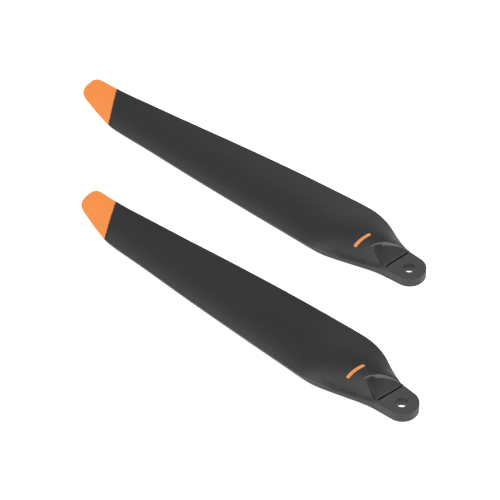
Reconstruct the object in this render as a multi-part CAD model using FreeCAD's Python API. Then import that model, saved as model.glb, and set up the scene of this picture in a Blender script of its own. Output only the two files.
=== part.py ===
import FreeCAD, Part
import math
import os

# Two loose blades of one folding two-blade rotor of a small camera drone.
# Both are mouldings of the same shape, for the same sense of rotation.
#
# Frame, in millimetres: the origin is on the axis of the rear blade's pivot bore, in the plane that
# both blades lie on. +X runs along the rear blade to its tip, +Y towards its leading edge and +Z up,
# along both pivot bores. The front blade lies on the leading edge's side of the rear one.

# ---- driving dimensions -------------------------------------------------------------------
BORE_RADIUS = 1.0            # running hole for the hinge screw
BORE_CHAMFER = 0.12          # at the top only
EYE_RADIUS = 2.82            # round end of the root
EYE_OFFSET = -0.12           # its centre lies a little to the trailing side of the bore
EYE_THICKNESS = 1.7          # its underside, the trailing edge and the tip lie in one plane
NECK_START = 2.6             # the flat eye ends and the blade's own surface starts here

FACET_TOP = EYE_THICKNESS + 0.15   # flat facet beside the eye
FACET_FOOT = 0.9             # where the facet's solid starts, inside the neck
SLOT_WIDTH = 0.3             # straight slot between the facet and the eye
SLOT_DEPTH = 0.5
SLOT_OVERRUN = 1.0           # it runs out through the neck's trailing side

MARK_RADIUS = 10.0           # the rotation mark is an arc about the pivot
MARK_WIDTH = 0.6
MARK_ANGLES = (-11.8, 10.0)  # degrees about the pivot, from +X
MARK_DEPTH = 0.3             # the ink sits in a shallow pocket
MARK_PROUD = 0.04            # and stands a little proud of the skin

PAINT_LINE = ((66.97, -5.6), (62.3, 2.3))   # edge of the painted tip, trailing to leading edge

FRONT_PLACE = (-17.1, 25.4)  # the front blade's pivot
FRONT_TURN = -3.0           # degrees about +Z, against the rear blade

BLOCK_REACH = 20.0           # by how much the block that parts off the tip passes the blade


# ---- blade sections -----------------------------------------------------------------------
# Each station is one section across the blade, from root to tip:
#   x                     distance from the pivot
#   le_y, le_top, le_wall leading edge: place, height of its top, height of its blunt wall
#   te_y, te_top          trailing edge: place and height of its top; its foot lies at Z = 0
#   crown, peak           rise of the top skin over the straight line between the edges, and where
#                         its highest point lies, as a share of the chord from the leading edge
#   hollow                rise of the underside's hollow over the line between the edges
STATION_FIELDS = ("x", "le_y", "le_top", "le_wall", "te_y", "te_top", "crown", "peak", "hollow")
STATIONS = [dict(zip(STATION_FIELDS, row)) for row in (
    (NECK_START, 2.78, 1.70, 1.70, -3.23, 1.70, 0.00, 0.50, 0.00),
    (4.0, 3.13, 1.70, 1.35, -3.90, 1.45, 0.45, 0.70, 0.00),
    (5.5, 3.72, 1.78, 1.05, -4.77, 1.15, 0.78, 0.68, 0.00),
    (7.0, 4.34, 1.95, 0.95, -5.71, 0.85, 0.74, 0.66, 0.02),
    (9.0, 5.18, 2.25, 0.87, -6.99, 0.55, 0.70, 0.60, 0.10),
    (11.0, 6.00, 2.55, 0.80, -7.89, 0.40, 0.68, 0.53, 0.20),
    (13.0, 6.69, 2.80, 0.70, -8.41, 0.35, 0.71, 0.45, 0.28),
    (15.0, 6.93, 2.90, 0.58, -8.56, 0.35, 0.75, 0.40, 0.30),
    (20.0, 6.54, 2.56, 0.45, -8.46, 0.35, 0.72, 0.38, 0.30),
    (30.0, 5.79, 2.10, 0.38, -8.08, 0.35, 0.68, 0.38, 0.25),
    (42.0, 4.79, 1.60, 0.35, -7.31, 0.35, 0.58, 0.38, 0.20),
    (53.0, 3.71, 1.13, 0.32, -6.43, 0.35, 0.48, 0.38, 0.15),
    (61.0, 2.99, 0.80, 0.30, -5.86, 0.35, 0.41, 0.38, 0.12),
    (64.0, 2.08, 0.70, 0.30, -5.63, 0.35, 0.36, 0.38, 0.10),
    (68.0, 0.46, 0.53, 0.30, -5.53, 0.34, 0.28, 0.38, 0.06),
    (70.0, -0.44, 0.45, 0.30, -5.57, 0.33, 0.20, 0.40, 0.04),
    (71.0, -1.26, 0.40, 0.30, -5.47, 0.32, 0.12, 0.45, 0.02),
    (71.6, -2.62, 0.36, 0.30, -4.78, 0.32, 0.05, 0.50, 0.00),
)]
SKIN_STEPS = 12              # points along each skin curve, less one


def skin_rise(share, rise, peak):
    """Height of a bulge at a share of the chord: none at the edges, all of it at the peak."""
    return rise * math.sin(math.pi * share ** (math.log(0.5) / math.log(peak)))


def skin_curve(station, top):
    """The top or bottom curve of one section, from its leading edge to its trailing edge."""
    points = []
    for step in range(SKIN_STEPS + 1):
        share = step / SKIN_STEPS
        y = station["le_y"] + share * (station["te_y"] - station["le_y"])
        le_z, te_z = station["le_top"], station["te_top"]
        if top:
            rise = skin_rise(share, station["crown"], station["peak"])
        else:
            le_z -= station["le_wall"]
            te_z = 0
            rise = skin_rise(share, station["hollow"], 0.5)
        points.append(FreeCAD.Vector(station["x"], y, le_z + share * (te_z - le_z) + rise))
    curve = Part.BSplineCurve()
    curve.interpolate(points)
    return curve


def section_wire(station):
    """A closed section: top skin, trailing wall, underside, leading wall."""
    top, under = skin_curve(station, True), skin_curve(station, False)
    trailing = Part.LineSegment(top.EndPoint, under.EndPoint)
    leading = Part.LineSegment(under.StartPoint, top.StartPoint)
    under.reverse()
    return Part.Wire([curve.toShape() for curve in (top, trailing, under, leading)])


def prism(outline_edges, bottom, top):
    """An upright prism over a flat outline drawn at Z = 0."""
    face = Part.Face(Part.Wire(outline_edges))
    face.translate(FreeCAD.Vector(0, 0, bottom))
    return face.extrude(FreeCAD.Vector(0, 0, top - bottom))


def point(xy):
    return FreeCAD.Vector(xy[0], xy[1], 0)


def line(start, end):
    return Part.makeLine(point(start), point(end))


def polygon(corners):
    """The edges of a closed outline with straight sides."""
    return [line(corners[i - 1], corners[i]) for i in range(len(corners))]


def arc(start, through, end):
    return Part.Arc(point(start), point(through), point(end)).toShape()


# ---- features of one blade ----------------------------------------------------------------
# The facet's outline: a slot line across the eye, a rounded ridge on the trailing side that runs
# out to an apex on the neck, and a crease back along the leading side.
SLOT_NEAR = (3.3, 2.05)
SLOT_FAR = (2.35, -3.05)
RIDGE_MIDDLE = (5.3, -2.1)
RIDGE_END = (6.75, -0.45)
APEX_MIDDLE = (6.8, -0.05)
APEX = (6.6, 0.35)
CREASE_MIDDLE = (5.4, 1.15)


def root_eye():
    """The flat round-ended root, up to where the blade's sections start."""
    neck = STATIONS[0]
    leading, trailing = (NECK_START, neck["le_y"]), (NECK_START, neck["te_y"])
    near, end = (0, EYE_OFFSET + EYE_RADIUS), (-EYE_RADIUS, EYE_OFFSET)
    far = (0, EYE_OFFSET - EYE_RADIUS)
    outline = [
        arc(near, end, far),
        line(far, trailing),
        line(trailing, leading),
        line(leading, near),
    ]
    return prism(outline, 0, EYE_THICKNESS)


def facet_outline():
    return [
        line(SLOT_NEAR, SLOT_FAR),
        arc(SLOT_FAR, RIDGE_MIDDLE, RIDGE_END),
        arc(RIDGE_END, APEX_MIDDLE, APEX),
        arc(APEX, CREASE_MIDDLE, SLOT_NEAR),
    ]


def slot():
    """The narrow slot on the eye's side of the facet's straight edge."""
    along = (point(SLOT_NEAR) - point(SLOT_FAR)).normalize()
    towards_eye = FreeCAD.Vector(-along.y, along.x, 0) * SLOT_WIDTH
    near, far = point(SLOT_NEAR), point(SLOT_FAR) - along * SLOT_OVERRUN
    outline = polygon([near, far, far + towards_eye, near + towards_eye])
    return prism(outline, EYE_THICKNESS - SLOT_DEPTH, FACET_TOP)


def bore():
    """The pivot hole, with a small chamfer at its top."""
    hole = Part.makeCylinder(BORE_RADIUS, EYE_THICKNESS)
    foot = FreeCAD.Vector(0, 0, EYE_THICKNESS - BORE_CHAMFER)
    return hole.fuse(Part.makeCone(BORE_RADIUS, BORE_RADIUS + BORE_CHAMFER, BORE_CHAMFER, foot))


def mark_prism():
    """An arc-shaped bar with round ends, centred on the pivot."""
    def polar(radius, degrees):
        angle = math.radians(degrees)
        return (radius * math.cos(angle), radius * math.sin(angle))

    inner, outer = MARK_RADIUS - MARK_WIDTH / 2, MARK_RADIUS + MARK_WIDTH / 2
    first, last = MARK_ANGLES
    middle = (first + last) / 2
    cap = math.degrees(MARK_WIDTH / 2 / MARK_RADIUS)
    outline = [
        arc(polar(inner, first), polar(inner, middle), polar(inner, last)),
        arc(polar(inner, last), polar(MARK_RADIUS, last + cap), polar(outer, last)),
        arc(polar(outer, last), polar(outer, middle), polar(outer, first)),
        arc(polar(outer, first), polar(MARK_RADIUS, first - cap), polar(inner, first)),
    ]
    return prism(outline, EYE_THICKNESS, 3 * EYE_THICKNESS)


def shifted(shape, z):
    moved = shape.copy()
    moved.translate(FreeCAD.Vector(0, 0, z))
    return moved


def tip_block():
    """Everything outboard of the paint line."""
    far, near = point(PAINT_LINE[0]), point(PAINT_LINE[1])
    along = (near - far).normalize() * BLOCK_REACH
    outboard = FreeCAD.Vector(BLOCK_REACH, 0, 0)
    outline = polygon([far - along, far - along + outboard, near + along + outboard, near + along])
    return prism(outline, 0, EYE_THICKNESS)


def make_blade():
    """One blade about its own pivot, as its three pieces."""
    skin = Part.makeLoft([section_wire(station) for station in STATIONS], True, False)
    facet = prism(facet_outline(), FACET_FOOT, FACET_TOP)
    above_facet = prism(facet_outline(), FACET_TOP, FACET_TOP + EYE_THICKNESS)
    whole = root_eye().fuse(skin).cut(above_facet).fuse(facet).cut(slot()).cut(bore())

    inlay = mark_prism()
    pocket = inlay.cut(shifted(skin, -MARK_DEPTH))
    mark = inlay.common(shifted(skin, MARK_PROUD)).cut(shifted(skin, -MARK_DEPTH))

    block = tip_block()
    return {
        "blade": whole.cut(pocket).cut(block),
        "painted_tip": whole.common(block),
        "rotation_mark": mark,
    }


def single_solid(shape, name):
    """The one solid that a piece must be, without seams left by the cuts."""
    tidy = shape.removeSplitter()
    if len(tidy.Solids) != 1 or not tidy.Solids[0].isValid():
        raise ValueError(f"{name} has {len(tidy.Solids)} solids, or its solid is not valid")
    return tidy.Solids[0]


# ---- both blades --------------------------------------------------------------------------
os.makedirs("parts", exist_ok=True)
PLACES = {
    "rear": FreeCAD.Placement(),
    "front": FreeCAD.Placement(
        point(FRONT_PLACE), FreeCAD.Rotation(FreeCAD.Vector(0, 0, 1), FRONT_TURN)
    ),
}
for piece, shape in make_blade().items():
    solid = single_solid(shape, piece)
    for side, place in PLACES.items():
        copy = solid.copy()
        copy.Placement = place.multiply(copy.Placement)
        copy.exportStep(f"parts/{side}_{piece}.step")
        box = copy.BoundBox
        print(f"{side}_{piece}: {copy.Volume:.2f} mm3, X {box.XMin:.2f} to {box.XMax:.2f}, "
              f"Y {box.YMin:.2f} to {box.YMax:.2f}, Z {box.ZMin:.2f} to {box.ZMax:.2f}")
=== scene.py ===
import math

import bmesh
import bpy
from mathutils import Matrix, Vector


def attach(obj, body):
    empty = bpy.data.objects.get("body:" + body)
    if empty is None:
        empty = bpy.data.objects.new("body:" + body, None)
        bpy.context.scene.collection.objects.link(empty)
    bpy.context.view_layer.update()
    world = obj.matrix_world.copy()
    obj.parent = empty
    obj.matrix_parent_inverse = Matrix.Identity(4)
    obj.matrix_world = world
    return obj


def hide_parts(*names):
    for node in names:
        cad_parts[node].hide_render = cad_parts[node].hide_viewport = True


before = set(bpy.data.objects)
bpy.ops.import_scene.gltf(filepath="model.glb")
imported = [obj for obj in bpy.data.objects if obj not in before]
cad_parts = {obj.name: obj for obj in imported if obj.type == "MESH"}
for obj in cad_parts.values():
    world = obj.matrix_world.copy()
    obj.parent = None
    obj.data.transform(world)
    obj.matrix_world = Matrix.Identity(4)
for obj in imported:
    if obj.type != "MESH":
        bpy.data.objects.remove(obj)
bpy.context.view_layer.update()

# Two loose blades of a folding drone rotor on a white table. Lengths are in metres, and MM turns
# millimetres into them. Rear blade: pivot bore on the Z axis, tip along +X, leading edge to +Y.
MM = 0.001

# ---- the blade's driving dimensions, in millimetres ----------------------------------------
EYE_RADIUS = 2.82
EYE_OFFSET = -0.12
EYE_THICKNESS = 1.7
BORE_RADIUS = 1.0
FACET_TOP, FACET_FOOT = EYE_THICKNESS + 0.12, 0.9
SLOT_NEAR, SLOT_FAR = (3.3, 2.05), (2.35, -3.05)
SLOT_WIDTH, SLOT_DEPTH = 0.24, 0.5
SLOT_OVERRUN = 1.0           # it runs out through the neck's trailing side
RIDGE_LEAVES, RIDGE_ARRIVES = (4.6, -3.05, 0), (6.95, -1.35, 0)
LEAF_APEX = (6.75, 0.05, 0)
FACET_TILT, FACET_ROLL = 3.2, 1.0   # degrees: it rises to its apex and to the leading side
# the pocket that the facet lies in and the pad that fills it: heights over the facet, and the
# outline's growth at each of them
POCKET_FLOOR, POCKET_TOP, POCKET_FLARE = -0.03, 1.0, 1.8
PAD_SHOULDER, PAD_TOP, PAD_FOOT_GROWTH, PAD_TOP_GROWTH = -0.09, 0.03, 1.1, 1.02
RIB_RADIUS = 0.62
RIB_BENDS = (                # each end: place, handles before and after, and thickness
    ((2.6, -2.8, 1.3), (1.9, -2.75, 1.3), (4.7, -3.1, 1.72), 0.85),
    ((7.95, 0.0, 1.62), (7.5, -1.7, 2.0), (8.0, 0.5, 1.4), 0.7),
)
CREASE_LEAVES, CREASE_ARRIVES = (6.65, 0.5, 0), (4.6, 1.75, 0)
MARK_RADIUS, MARK_WIDTH, MARK_ANGLES = 10.0, 0.57, (-11.8, 10.0)
MARK_PROUD, MARK_FILM = 0.03, 0.06
PAINT_LINE = ((66.97, -5.6), (62.3, 2.3))
BAR_ROW = ((6.9, 3.5), (11.8, 5.2))
BAR_GROUPS = (5, 4)
BAR_WIDTH, BAR_LENGTH, BAR_PROUD = 0.2, 0.65, 0.05
BAR_TAPER = (0.7, 0.92, 1)   # the top of a bar as a share of its foot
PLACES = {"rear": ((0, 0), 0), "front": ((-17.1, 25.4), -3.0)}   # each pivot, and turn in degrees
RIM_ROUND = 0.06             # rounding of the moulding's outer edges
DRAFT = 0.02                 # how far the rims stand back from the parting line

# Sections from the neck to the tip: place along the blade, then the leading edge's place, the
# height of its top and of its wall, the trailing edge's place and top, and the skins' bulges.
FIELDS = ("le_y", "le_top", "le_wall", "te_y", "te_top", "crown", "peak", "hollow")
STATIONS = {
    2.6: (2.78, 1.70, 1.70, -3.23, 1.70, 0.00, 0.50, 0.00),
    4.0: (3.13, 1.70, 1.35, -3.90, 1.45, 0.45, 0.70, 0.00),
    5.5: (3.72, 1.78, 1.05, -4.77, 1.15, 0.78, 0.68, 0.00),
    7.0: (4.34, 1.95, 0.95, -5.71, 0.85, 0.74, 0.66, 0.02),
    9.0: (5.18, 2.25, 0.87, -6.99, 0.55, 0.70, 0.60, 0.10),
    11.0: (6.00, 2.55, 0.80, -7.89, 0.40, 0.68, 0.53, 0.20),
    13.0: (6.69, 2.80, 0.70, -8.41, 0.35, 0.71, 0.45, 0.28),
    15.0: (6.93, 2.90, 0.58, -8.56, 0.35, 0.75, 0.40, 0.30),
    20.0: (6.54, 2.56, 0.45, -8.46, 0.35, 0.72, 0.38, 0.30),
    30.0: (5.79, 2.10, 0.38, -8.08, 0.35, 0.68, 0.38, 0.25),
    42.0: (4.79, 1.60, 0.35, -7.31, 0.35, 0.58, 0.38, 0.20),
    53.0: (3.71, 1.13, 0.32, -6.43, 0.35, 0.48, 0.38, 0.15),
    61.0: (2.99, 0.80, 0.30, -5.86, 0.35, 0.41, 0.38, 0.12),
    64.0: (2.08, 0.70, 0.30, -5.63, 0.35, 0.36, 0.38, 0.10),
    68.0: (0.46, 0.53, 0.30, -5.53, 0.34, 0.28, 0.38, 0.06),
    70.0: (-0.44, 0.45, 0.30, -5.57, 0.33, 0.20, 0.40, 0.04),
    71.0: (-1.26, 0.40, 0.30, -5.47, 0.32, 0.12, 0.45, 0.02),
    71.6: (-2.62, 0.36, 0.30, -4.78, 0.32, 0.05, 0.50, 0.00),
}

TINY = 1e-6                  # metres; places closer than this are one

# ---- finishes, light and camera --------------------------------------------------------------
# the eye's lighter grey is a painted highlight for the light on its flat top; the blade's two
# blacks are the fibres' random cloud
NYLON_DARK, NYLON_LIGHT, NYLON_EYE_PAINTED_HIGHLIGHT = "#1c1c1d", "#202021", "#2d2d2e"
PLASTIC_IOR = 1.5
NYLON_ROUGHNESS, EYE_ROUGHNESS, PAINT_ROUGHNESS, INK_ROUGHNESS = 0.36, 0.5, 0.45, 0.6
GRAIN_SIZE, GRAIN_DEPTH = 0.2, 0.025   # millimetres; coarser than real grain, so that it shows
BLADE_RELIEF = 0.35          # share of the grain's depth outboard of the eye
EYE_FADE = 0.6               # millimetres past the slot over which the eye's rougher finish and its painted highlight end
FIBRE_CLOUD, PAINT_CLOUD, INK_SPECKLE = 4, 3, 0.5   # millimetres
PAINT_DEEP, PAINT_PALE = "#e18035", "#e5853a"
INK_DEEP, INK_PALE = "#d68146", "#dc8a50"
TABLE_SIZE, TABLE_GAP, TABLE_WHITE, TABLE_GLOW = 2.0, 0.00002, "#b8b8b8", 0.98
TENT = ((0, 0.45), (12, 0.32), (25, 0.02), (46, 0.205), (70, 1.15))   # elevation, brightness
TENT_STRENGTH = 2.0
SOFTBOX_PLACE, SOFTBOX_SIZE, SOFTBOX_POWER = (0.02, 0.01, 0.6), 0.4, 1.2
CAMERA_AZIMUTH, CAMERA_ELEVATION, CAMERA_DISTANCE = 217.66, 45.0, 725.7
CAMERA_TARGET, CAMERA_LENS, CAMERA_CLIP = (23.52, 12.83, 1.7), 313.1, (0.01, 10)


# ---- small helpers -------------------------------------------------------------------------
def deselect_all():
    bpy.ops.object.select_all(action="DESELECT")


def pick(piece):
    """Makes a piece the only selected object."""
    deselect_all()
    piece.select_set(True)
    bpy.context.view_layer.objects.active = piece


def edit(piece, mode="VERT"):
    """Enters edit mode on one piece with nothing selected."""
    pick(piece)
    bpy.ops.object.mode_set(mode="EDIT")
    bpy.ops.mesh.select_mode(type=mode)
    bpy.ops.mesh.select_all(action="DESELECT")


def leave_edit():
    bpy.ops.object.mode_set(mode="OBJECT")


def named(name):
    piece = bpy.context.active_object
    piece.name = piece.data.name = name
    return piece


def apply_modifiers(piece):
    pick(piece)
    for modifier in list(piece.modifiers):
        bpy.ops.object.modifier_apply(modifier=modifier.name)


def settle(piece):
    """Puts a piece's place, turn and size into its mesh."""
    pick(piece)
    bpy.ops.object.transform_apply(location=True, rotation=True, scale=True)


def cut_or_join(piece, tool, operation):
    """Applies a Boolean with a tool, and takes the tool away."""
    modifier = piece.modifiers.new(operation.lower(), "BOOLEAN")
    modifier.operation = operation
    modifier.solver = "EXACT"
    modifier.object = tool
    apply_modifiers(piece)
    bpy.data.objects.remove(tool, do_unlink=True)


def copy_of(piece, name):
    pick(piece)
    bpy.ops.object.duplicate(linked=False)
    return named(name)


# ---- the section at any place along the blade ------------------------------------------------
def between(x, field):
    """A station value at x, on a smooth curve through the stations."""
    places = sorted(STATIONS)
    column = FIELDS.index(field)
    x = min(max(x, places[0]), places[-1])
    i = max(0, min(len(places) - 2, sum(p <= x for p in places) - 1))
    x0, x1 = places[i], places[i + 1]
    y0, y1 = STATIONS[x0][column], STATIONS[x1][column]

    def slope(k):
        low, high = max(k - 1, 0), min(k + 1, len(places) - 1)
        rise = STATIONS[places[high]][column] - STATIONS[places[low]][column]
        return rise / (places[high] - places[low])

    t, width = (x - x0) / (x1 - x0), x1 - x0
    return ((2 * t**3 - 3 * t**2 + 1) * y0 + (t**3 - 2 * t**2 + t) * width * slope(i)
            + (3 * t**2 - 2 * t**3) * y1 + (t**3 - t**2) * width * slope(i + 1))


def section(x):
    """The section's values at x, with the round eye inboard of the neck."""
    values = {field: between(x, field) for field in FIELDS}
    neck = min(STATIONS)
    if x < neck:
        reach = EYE_RADIUS if x >= 0 else math.sqrt(max(EYE_RADIUS**2 - x**2, 0))
        share = max(x, 0) / neck
        values["le_y"] = (1 - share) * (EYE_OFFSET + reach) + share * values["le_y"]
        values["te_y"] = (1 - share) * (EYE_OFFSET - reach) + share * values["te_y"]
    return values


# ---- the moulded skin ------------------------------------------------------------------------
COLUMNS = 14                 # quads across the chord
BORE_SIDES = 64
LEAF_STEPS = 16              # points along each bend of the facet's outline
RIB_STEPS, RIB_ROUND_STEPS = 24, 10   # along the rib and round each quarter of it
CAP_SIDES, ARC_STEPS = 24, 12   # the mark: sides of its round ends, steps along half of it
RIM_SEGMENTS = 2
EYE_ROWS = 9                 # rows round the eye's end
SMOOTH_LEVELS = 2
SHARP = math.radians(38)     # a steeper edge of the rough skin stays an edge
SHADED_SHARP = math.radians(22)   # the finished skin is shaded smooth over flatter edges
FIRST_TURN = 9               # degrees round the eye's end, at the first row
ROW_RUNS = (                 # from, up to but without, and how many rows
    (0.0, 2.2, 3), (2.2, 9.0, 14), (9.0, 17.0, 10),
    (17.0, 60.0, 20), (60.0, 69.5, 10), (69.5, 71.6, 6),
)
LAST_ROWS = [71.4, 71.6]


def spread(first, last, count):
    """Places from first up to, but without, last."""
    return [first + (last - first) * i / count for i in range(count)]


def row_places():
    """Where the sections stand: close together at the eye, the neck and the tip."""
    turns = spread(FIRST_TURN, 90, EYE_ROWS)
    end = [-EYE_RADIUS * math.cos(math.radians(turn)) for turn in turns]
    return end + [x for run in ROW_RUNS for x in spread(*run)] + LAST_ROWS


def select_where(piece, test):
    """In edit mode, selects the vertices that pass a test, and only those."""
    mesh = bmesh.from_edit_mesh(piece.data)
    for vertex in mesh.verts:
        vertex.select = test(vertex)
    mesh.select_flush_mode()
    bmesh.update_edit_mesh(piece.data)


def skin_sheet(name, top):
    """One skin: a grid whose rows are bulged, sized, pitched and set at their stations."""
    places = row_places()
    bpy.ops.mesh.primitive_grid_add(x_subdivisions=len(places) - 1, y_subdivisions=COLUMNS, size=1)
    sheet = named(name)
    columns = {}
    for vertex in sheet.data.vertices:
        columns.setdefault(round(vertex.co.x, 5), []).append(vertex.index)
    rows = [set(columns[key]) for key in sorted(columns)]

    values = [section(x) for x in places]
    places = [places[0] + DRAFT, *places[1:-1], places[-1] - DRAFT]
    for row, at in zip(rows, values):
        rise, peak = (at["crown"], at["peak"]) if top else (at["hollow"], 0.5)
        power = math.log(0.5) / math.log(peak)
        for index in row:
            vertex = sheet.data.vertices[index]
            share = min(max(0.5 - vertex.co.y, 0), 1)
            vertex.co.z = rise * MM * math.sin(math.pi * share**power)
            vertex.co.x = 0

    edit(sheet)
    for row, x, at in zip(rows, places, values):
        le_z = at["le_top"] - (0 if top else at["le_wall"])
        te_z = at["te_top"] if top else 0
        width, height = at["le_y"] - at["te_y"] - 2 * DRAFT, le_z - te_z
        select_where(sheet, lambda vertex: vertex.index in row)
        bpy.ops.transform.resize(value=(1, math.hypot(width, height) * MM, 1),
                                 center_override=(0, 0, 0))
        bpy.ops.transform.rotate(value=-math.atan2(height, width), orient_axis="X",
                                 center_override=(0, 0, 0))
        middle = (x, (at["le_y"] + at["te_y"]) / 2, (le_z + te_z) / 2)
        bpy.ops.transform.translate(value=[c * MM for c in middle])
    leave_edit()
    return sheet


def moulded_skin():
    """Both skins joined by the side walls, with a parting line half way up them."""
    top, under = skin_sheet("blade_skin", True), skin_sheet("blade_underside", False)
    pick(top)
    under.select_set(True)
    bpy.ops.object.join()
    skin = named("blade_skin")
    sheet_vertices = len(skin.data.vertices)

    edit(skin, "EDGE")
    bpy.ops.mesh.select_non_manifold(use_wire=False, use_boundary=True)
    bpy.ops.mesh.bridge_edge_loops(number_cuts=1, interpolation="LINEAR")
    bpy.ops.mesh.select_all(action="SELECT")
    bpy.ops.mesh.normals_make_consistent(inside=False)
    bpy.ops.mesh.select_all(action="DESELECT")
    bpy.ops.mesh.edges_select_sharp(sharpness=SHARP)
    bpy.ops.transform.edge_crease(value=1)
    bpy.ops.mesh.select_mode(type="VERT")
    select_where(skin, lambda vertex: vertex.index >= sheet_vertices)
    bpy.ops.transform.shrink_fatten(value=DRAFT * MM)
    leave_edit()

    smooth = skin.modifiers.new("smooth", "SUBSURF")
    smooth.levels = smooth.render_levels = SMOOTH_LEVELS
    apply_modifiers(skin)
    edit(skin, "EDGE")
    bpy.ops.mesh.edges_select_sharp(sharpness=SHARP)
    bpy.ops.mesh.bevel(offset=RIM_ROUND * MM, segments=RIM_SEGMENTS, affect="EDGES",
                       clamp_overlap=True)
    leave_edit()
    return skin


# ---- bore, slot and facet --------------------------------------------------------------------
def cut_bore(skin):
    """The pivot hole, right through the eye."""
    bpy.ops.mesh.primitive_cylinder_add(vertices=BORE_SIDES, radius=BORE_RADIUS * MM,
                                        depth=3 * EYE_THICKNESS * MM)
    cut_or_join(skin, named("bore_tool"), "DIFFERENCE")


def leaf_block(name, foot, growth, *levels):
    """The facet's outline as a tilted block: straight inside the slot, rounded at the ridge.
    It starts at its foot's height over the facet; each level is a height and a growth there."""
    bpy.ops.curve.primitive_bezier_circle_add(radius=MM)
    leaf = named(name)
    leaf.data.dimensions = "2D"
    leaf.data.resolution_u = LEAF_STEPS
    near, far = (Vector((x - SLOT_WIDTH / 2, y, 0)) for x, y in (SLOT_NEAR, SLOT_FAR))
    middle = (near + far) / 2
    # each corner: its place, and the handles before and after it
    corners = [
        (far, middle, Vector(RIDGE_LEAVES)),
        (Vector(LEAF_APEX), Vector(RIDGE_ARRIVES), Vector(CREASE_LEAVES)),
        (near, Vector(CREASE_ARRIVES), middle),
        (middle, near, far),
    ]
    for bend, places in zip(leaf.data.splines[0].bezier_points, corners):
        bend.handle_left_type = bend.handle_right_type = "FREE"
        bend.co, bend.handle_left, bend.handle_right = ((at - middle) * MM for at in places)
    pick(leaf)
    bpy.ops.object.convert(target="MESH")
    leaf = named(name)
    edit(leaf)
    bpy.ops.mesh.select_all(action="SELECT")
    bpy.ops.mesh.remove_doubles(threshold=TINY)
    bpy.ops.mesh.delete(type="ONLY_FACE")
    bpy.ops.mesh.select_all(action="SELECT")
    bpy.ops.mesh.edge_face_add()
    bpy.ops.transform.resize(value=(growth, growth, 1), center_override=(0, 0, 0))
    bpy.ops.transform.translate(value=(0, 0, foot * MM))
    height = foot
    for level, size in levels:
        bpy.ops.mesh.extrude_region_move(
            TRANSFORM_OT_translate={"value": (0, 0, (level - height) * MM)})
        bpy.ops.transform.resize(value=(size / growth, size / growth, 1),
                                 center_override=(0, 0, 0))
        height, growth = level, size
    bpy.ops.mesh.select_all(action="SELECT")
    bpy.ops.mesh.normals_make_consistent(inside=False)
    leave_edit()
    leaf.location = (middle.x * MM, middle.y * MM, FACET_TOP * MM)
    leaf.rotation_euler = (math.radians(FACET_ROLL), -math.radians(FACET_TILT), 0)
    settle(leaf)
    return leaf


def ridge_rib():
    """The rounded rib that runs round the facet from the neck's trailing side to the apex."""
    bpy.ops.curve.primitive_bezier_curve_add(radius=MM)
    rib = named("ridge_rib")
    rib.data.resolution_u = RIB_STEPS
    rib.data.bevel_depth = RIB_RADIUS * MM
    rib.data.bevel_resolution = RIB_ROUND_STEPS
    rib.data.use_fill_caps = True
    for bend, (place, before, after, size) in zip(rib.data.splines[0].bezier_points, RIB_BENDS):
        bend.handle_left_type = bend.handle_right_type = "FREE"
        bend.co, bend.handle_left, bend.handle_right = (
            [c * MM for c in at] for at in (place, before, after))
        bend.radius = size
    pick(rib)
    bpy.ops.object.convert(target="MESH")
    return named("ridge_rib")


def cut_slot(skin):
    """The narrow slot across the eye, on the eye's side of the facet's straight edge."""
    near, far = Vector((*SLOT_NEAR, 0)), Vector((*SLOT_FAR, 0))
    along = (near - far).normalized()
    towards_eye = Vector((-along.y, along.x, 0))
    middle = (near + far) / 2 - along * SLOT_OVERRUN / 2 + towards_eye * SLOT_WIDTH / 2
    bpy.ops.mesh.primitive_cube_add(size=1, location=(middle.x * MM, middle.y * MM,
                                                      EYE_THICKNESS * MM))
    tool = named("slot_tool")
    length = (near - far).length + SLOT_OVERRUN
    tool.scale = (length * MM, SLOT_WIDTH * MM, 2 * SLOT_DEPTH * MM)
    tool.rotation_euler.z = math.atan2(along.y, along.x)
    settle(tool)
    cut_or_join(skin, tool, "DIFFERENCE")


def root_features(skin):
    """Rib, pocket, facet, slot and bore, in the order that keeps the skin closed."""
    cut_or_join(skin, ridge_rib(), "UNION")
    pocket = leaf_block("facet_pocket", POCKET_FLOOR, 1.0, (POCKET_TOP, POCKET_FLARE))
    cut_or_join(skin, pocket, "DIFFERENCE")
    pad = leaf_block("facet_pad", FACET_FOOT - FACET_TOP, PAD_FOOT_GROWTH,
                     (PAD_SHOULDER, PAD_FOOT_GROWTH), (PAD_TOP, PAD_TOP_GROWTH))
    cut_or_join(skin, pad, "UNION")
    cut_slot(skin)
    cut_bore(skin)
    pick(skin)
    bpy.ops.object.shade_smooth_by_angle(angle=SHADED_SHARP)


# ---- the pieces of one blade -----------------------------------------------------------------
def split_at_paint_line(skin):
    """Parts the skin at the paint line, and closes both pieces there."""
    far, near = (Vector((x * MM, y * MM, 0)) for x, y in PAINT_LINE)
    outward = Vector((near.y - far.y, far.x - near.x, 0)).normalized()
    tip = copy_of(skin, "painted_tip_skin")
    for piece, inner, outer in ((skin, False, True), (tip, True, False)):
        edit(piece)
        bpy.ops.mesh.select_all(action="SELECT")
        bpy.ops.mesh.bisect(plane_co=far, plane_no=outward, use_fill=True,
                            clear_inner=inner, clear_outer=outer)
        leave_edit()
    return tip


def lay_on(piece, skin, proud, thickness):
    """Drops a flat piece on the skin's top and gives it the thickness of a film."""
    wrap = piece.modifiers.new("lie", "SHRINKWRAP")
    wrap.target = skin
    wrap.wrap_method = "PROJECT"
    wrap.use_project_z = True
    wrap.use_positive_direction, wrap.use_negative_direction = False, True
    wrap.offset = proud * MM
    wall = piece.modifiers.new("film", "SOLIDIFY")
    wall.thickness = thickness * MM
    wall.offset = -1
    apply_modifiers(piece)


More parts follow.
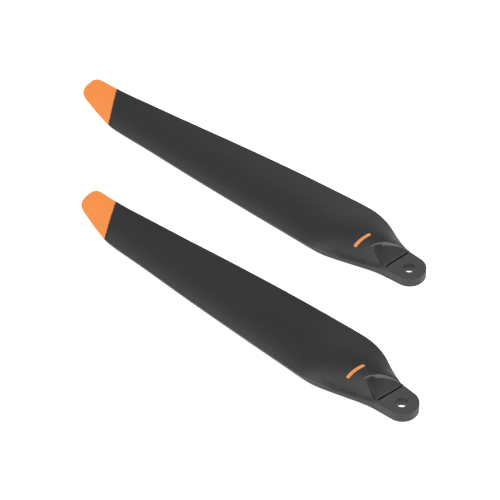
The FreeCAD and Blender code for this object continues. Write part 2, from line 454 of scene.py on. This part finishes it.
def mark_film(skin):
    """The printed arc about the pivot: half of it with one round end, then mirrored."""
    first, last = MARK_ANGLES
    half = math.radians((last - first) / 2)
    bpy.ops.mesh.primitive_circle_add(vertices=CAP_SIDES, radius=MARK_WIDTH / 2 * MM,
                                      location=(MARK_RADIUS * MM, 0, 2 * EYE_THICKNESS * MM))
    film = named("mark_film")
    settle(film)
    edit(film)
    select_where(film, lambda vertex: vertex.co.y < -TINY)
    bpy.ops.mesh.delete(type="VERT")
    bpy.ops.mesh.select_all(action="SELECT")
    bpy.ops.mesh.edge_face_add()
    bpy.ops.mesh.select_all(action="DESELECT")
    select_where(film, lambda vertex: abs(vertex.co.y) < TINY)
    bpy.ops.mesh.spin(steps=ARC_STEPS, angle=half, center=(0, 0, 0), axis=(0, 0, 1))
    leave_edit()
    film.rotation_euler.z = half
    settle(film)
    mirror = film.modifiers.new("other_half", "MIRROR")
    mirror.use_axis = (False, True, False)
    mirror.merge_threshold = TINY
    apply_modifiers(film)
    edit(film)
    bpy.ops.mesh.select_all(action="SELECT")
    bpy.ops.mesh.normals_make_consistent(inside=False)
    leave_edit()
    film.rotation_euler.z = math.radians((first + last) / 2)
    settle(film)
    lay_on(film, skin, MARK_PROUD, MARK_FILM)
    return film


def top_height(x, y):
    """Height of the blade's top at a place, from its section there."""
    at = section(x)
    share = (at["le_y"] - y) / (at["le_y"] - at["te_y"])
    bulge = at["crown"] * math.sin(math.pi * share ** (math.log(0.5) / math.log(at["peak"])))
    return at["le_top"] + share * (at["te_top"] - at["le_top"]) + bulge


def mould_bars():
    """Two groups of short raised bars beside the leading edge, in place of any lettering."""
    bpy.ops.mesh.primitive_cube_add(size=1)
    bar = named("mould_bars")
    bar.scale = (BAR_WIDTH * MM, BAR_LENGTH * MM, 2 * BAR_PROUD * MM)
    settle(bar)
    edit(bar, "FACE")
    select_where(bar, lambda vertex: vertex.co.z > 0)
    bpy.ops.transform.resize(value=BAR_TAPER, center_override=(0, 0, 0))
    leave_edit()

    (first_x, first_y), (last_x, last_y) = BAR_ROW
    row_turn = math.atan2(last_y - first_y, last_x - first_x)
    count = sum(BAR_GROUPS) + len(BAR_GROUPS) - 1
    gaps = {sum(BAR_GROUPS[:i]) + i - 1 for i in range(1, len(BAR_GROUPS))}
    bars = []
    for step in range(count):
        if step in gaps:
            continue
        share = step / (count - 1)
        x, y = first_x + share * (last_x - first_x), first_y + share * (last_y - first_y)
        copy = copy_of(bar, "mould_bars")
        slope = (top_height(x, y + 0.1) - top_height(x, y - 0.1)) / 0.2
        copy.rotation_euler = (math.atan(slope), 0, row_turn)
        copy.location = (x * MM, y * MM, top_height(x, y) * MM)
        settle(copy)
        bars.append(copy)
    bpy.data.objects.remove(bar, do_unlink=True)
    pick(bars[0])
    for copy in bars[1:]:
        copy.select_set(True)
    bpy.ops.object.join()
    return named("mould_bars")


# ---- finishes --------------------------------------------------------------------------------
def linear(code):
    """An sRGB hex colour as linear light."""
    values = [int(code[i:i + 2], 16) / 255 for i in (1, 3, 5)]
    return (*(v / 12.92 if v <= 0.04045 else ((v + 0.055) / 1.055) ** 2.4 for v in values), 1)


def add(material, kind, inputs=(), **settings):
    """Adds a node with its settings; an input is a value, or another node's output to link."""
    node = material.node_tree.nodes.new(kind)
    for name, value in settings.items():
        setattr(node, name, value)
    for name, value in dict(inputs).items():
        if isinstance(value, bpy.types.NodeSocket):
            material.node_tree.links.new(value, node.inputs[name])
        else:
            node.inputs[name].default_value = value
    return node


def finish(name, **surface):
    """A material with one shader; its uniform values are set straight on the shader."""
    material = bpy.data.materials.new(name)
    material.use_nodes = True
    material.node_tree.nodes.clear()
    shader = add(material, "ShaderNodeBsdfPrincipled", surface.items())
    add(material, "ShaderNodeOutputMaterial", {"Surface": shader.outputs["BSDF"]})
    return material, shader


def blade_place(material, side):
    """Object coordinates in the blade's own frame, so both blades carry the same pattern."""
    coordinates = add(material, "ShaderNodeTexCoord")
    place, turn = PLACES[side]
    return add(material, "ShaderNodeMapping", {
        "Vector": coordinates.outputs["Object"],
        "Location": (place[0] * MM, place[1] * MM, 0),
        "Rotation": (0, 0, math.radians(turn)),
    }, vector_type="TEXTURE").outputs["Vector"]


def grain(material, place, depth):
    """A fine random relief of the moulding's grain size; its depth is in millimetres."""
    noise = add(material, "ShaderNodeTexNoise", {
        "Vector": place, "Scale": 1 / (GRAIN_SIZE * MM), "Detail": 2.0, "Roughness": 0.6,
    })
    return add(material, "ShaderNodeBump", {
        "Height": noise.outputs["Fac"], "Strength": 1.0, "Distance": depth * MM,
    })


def moulded_nylon(side):
    """Black glass-filled nylon from a spark-eroded mould: matte, with a soft sheen on its slopes.
    The root eye comes from a rougher part of the mould, and its lighter grey is a painted
    highlight for the light on its flat top."""
    material, shader = finish(f"moulded_nylon_{side}", IOR=PLASTIC_IOR)
    place = blade_place(material, side)
    axes = add(material, "ShaderNodeSeparateXYZ", {"Vector": place})
    lean = (SLOT_NEAR[0] - SLOT_FAR[0]) / (SLOT_NEAR[1] - SLOT_FAR[1])
    along = add(material, "ShaderNodeMath", {0: axes.outputs["Y"], 1: -lean, 2: axes.outputs["X"]},
                operation="MULTIPLY_ADD")
    slot_x = SLOT_NEAR[0] - lean * SLOT_NEAR[1]
    eye = add(material, "ShaderNodeMapRange", {
        "Value": along.outputs["Value"],
        "From Min": (slot_x + EYE_FADE) * MM, "From Max": slot_x * MM,
    }, interpolation_type="SMOOTHSTEP").outputs["Result"]

    # the glass fibres cloud the black over a few millimetres
    cloud = add(material, "ShaderNodeTexNoise", {
        "Vector": place, "Scale": 1 / (FIBRE_CLOUD * MM), "Detail": 4.0,
    })
    blade_black = add(material, "ShaderNodeMix", {
        "Factor": cloud.outputs["Fac"], "A": linear(NYLON_DARK), "B": linear(NYLON_LIGHT),
    }, data_type="RGBA")
    # the eye's rougher finish is real; its lighter grey is a painted highlight
    colour = add(material, "ShaderNodeMix", {
        "Factor": eye, "A": blade_black.outputs[2], "B": linear(NYLON_EYE_PAINTED_HIGHLIGHT),
    }, data_type="RGBA")
    roughness = add(material, "ShaderNodeMapRange", {
        "Value": eye, "To Min": NYLON_ROUGHNESS, "To Max": EYE_ROUGHNESS,
    })
    depth = add(material, "ShaderNodeMapRange", {
        "Value": eye, "To Min": BLADE_RELIEF, "To Max": 1.0,
    })
    relief = grain(material, place, GRAIN_DEPTH)
    links = material.node_tree.links
    links.new(depth.outputs["Result"], relief.inputs["Strength"])
    links.new(colour.outputs[2], shader.inputs["Base Color"])
    links.new(roughness.outputs["Result"], shader.inputs["Roughness"])
    links.new(relief.outputs["Normal"], shader.inputs["Normal"])
    return material


def sprayed_paint(side):
    """Satin orange paint over the moulded tip: the grain below it shows only faintly."""
    material, shader = finish(f"sprayed_paint_{side}", IOR=PLASTIC_IOR,
                              Roughness=PAINT_ROUGHNESS)
    place = blade_place(material, side)
    cloud = add(material, "ShaderNodeTexNoise", {
        "Vector": place, "Scale": 1 / (PAINT_CLOUD * MM), "Detail": 3.0,
    })
    colour = add(material, "ShaderNodeMix", {
        "Factor": cloud.outputs["Fac"], "A": linear(PAINT_DEEP), "B": linear(PAINT_PALE),
    }, data_type="RGBA")
    relief = grain(material, place, GRAIN_DEPTH / 4)
    links = material.node_tree.links
    links.new(colour.outputs[2], shader.inputs["Base Color"])
    links.new(relief.outputs["Normal"], shader.inputs["Normal"])
    return material


def printed_ink(side):
    """Matte pad-printed ink: a little duller than the tip, thin enough to follow the grain."""
    material, shader = finish(f"printed_ink_{side}", IOR=PLASTIC_IOR,
                              Roughness=INK_ROUGHNESS)
    place = blade_place(material, side)
    speckle = add(material, "ShaderNodeTexNoise", {
        "Vector": place, "Scale": 1 / (INK_SPECKLE * MM),
    })
    colour = add(material, "ShaderNodeMix", {
        "Factor": speckle.outputs["Fac"], "A": linear(INK_DEEP), "B": linear(INK_PALE),
    }, data_type="RGBA")
    relief = grain(material, place, GRAIN_DEPTH / 2)
    links = material.node_tree.links
    links.new(colour.outputs[2], shader.inputs["Base Color"])
    links.new(relief.outputs["Normal"], shader.inputs["Normal"])
    return material


# ---- both blades -----------------------------------------------------------------------------
skin = moulded_skin()
root_features(skin)
film = mark_film(skin)
bars = mould_bars()
tip = split_at_paint_line(skin)

# piece, its name, the CAD node that it stands for, its material slot and its finish
PIECES = (
    (skin, "blade_skin", "blade", "blade_plastic", moulded_nylon),
    (bars, "mould_bars", None, "blade_plastic", moulded_nylon),
    (tip, "painted_tip_skin", "painted_tip", "tip_paint", sprayed_paint),
    (film, "rotation_mark_film", "rotation_mark", "mark_ink", printed_ink),
)
finishes = {(make, side): make(side) for make in (moulded_nylon, sprayed_paint, printed_ink)
            for side in PLACES}
for pattern, name, node, slot, make in PIECES:
    for side, (place, turn) in PLACES.items():
        piece = copy_of(pattern, f"{side}_{name}")
        piece.rotation_euler.z = math.radians(turn)
        piece.location = (place[0] * MM, place[1] * MM, 0)
        settle(piece)
        piece.data.materials.clear()
        piece.data.materials.append(finishes[make, side])
        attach(piece, side)
        if node:
            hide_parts(f"{side}_{node}")
    bpy.data.objects.remove(pattern, do_unlink=True)


# ---- table, light and camera -----------------------------------------------------------------
def white_table():
    """A plain white table top under the blades."""
    deselect_all()
    bpy.ops.mesh.primitive_plane_add(size=TABLE_SIZE, location=(0, 0, -TABLE_GAP))
    table = named("white_table")
    settle(table)
    material, shader = finish("white_table_top", Roughness=0.6)
    shader.inputs["Base Color"].default_value = linear(TABLE_WHITE)
    shader.inputs["Emission Color"].default_value = (1, 1, 1, 1)
    shader.inputs["Emission Strength"].default_value = TABLE_GLOW
    table.data.materials.append(material)


def light_tent():
    """A white tent round the table: bright overhead and at the horizon, dimmer between."""
    world = bpy.data.worlds.new("light_tent")
    world.use_nodes = True
    world.node_tree.nodes.clear()
    direction = add(world, "ShaderNodeTexCoord")
    axes = add(world, "ShaderNodeSeparateXYZ", {"Vector": direction.outputs["Generated"]})
    ramp = add(world, "ShaderNodeValToRGB", {"Fac": axes.outputs["Z"]})
    ramp.color_ramp.interpolation = "EASE"
    stops = ramp.color_ramp.elements
    for stop, (elevation, level) in zip((stops[0], stops[1]), TENT[:2]):
        stop.position, stop.color = math.sin(math.radians(elevation)), (level, level, level, 1)
    for elevation, level in TENT[2:]:
        stop = stops.new(math.sin(math.radians(elevation)))
        stop.color = (level, level, level, 1)
    tent = add(world, "ShaderNodeBackground", {
        "Color": ramp.outputs["Color"], "Strength": TENT_STRENGTH,
    })
    add(world, "ShaderNodeOutputWorld", {"Surface": tent.outputs["Background"]})
    bpy.context.scene.world = world


def overhead_softbox():
    """A weak round lamp overhead, which adds to the tent's light."""
    softbox = bpy.data.objects.new("softbox", bpy.data.lights.new("softbox", "AREA"))
    bpy.context.scene.collection.objects.link(softbox)
    softbox.data.shape = "DISK"
    softbox.data.size = SOFTBOX_SIZE
    softbox.data.energy = SOFTBOX_POWER
    softbox.location = SOFTBOX_PLACE


def three_quarter_camera():
    """The camera looks down on both roots from the leading edges' side."""
    azimuth, elevation = math.radians(CAMERA_AZIMUTH), math.radians(CAMERA_ELEVATION)
    back = Vector((math.sin(azimuth) * math.cos(elevation),
                   -math.cos(azimuth) * math.cos(elevation), math.sin(elevation)))
    camera = bpy.data.objects.new("camera", bpy.data.cameras.new("camera"))
    bpy.context.scene.collection.objects.link(camera)
    camera.location = Vector(CAMERA_TARGET) * MM + back * CAMERA_DISTANCE * MM
    camera.rotation_mode = "QUATERNION"
    camera.rotation_quaternion = (-back).to_track_quat("-Z", "Y")
    camera.data.lens = CAMERA_LENS
    camera.data.clip_start, camera.data.clip_end = CAMERA_CLIP
    bpy.context.scene.camera = camera


white_table()
light_tent()
overhead_softbox()
three_quarter_camera()
bpy.context.scene.view_settings.view_transform = "Standard"
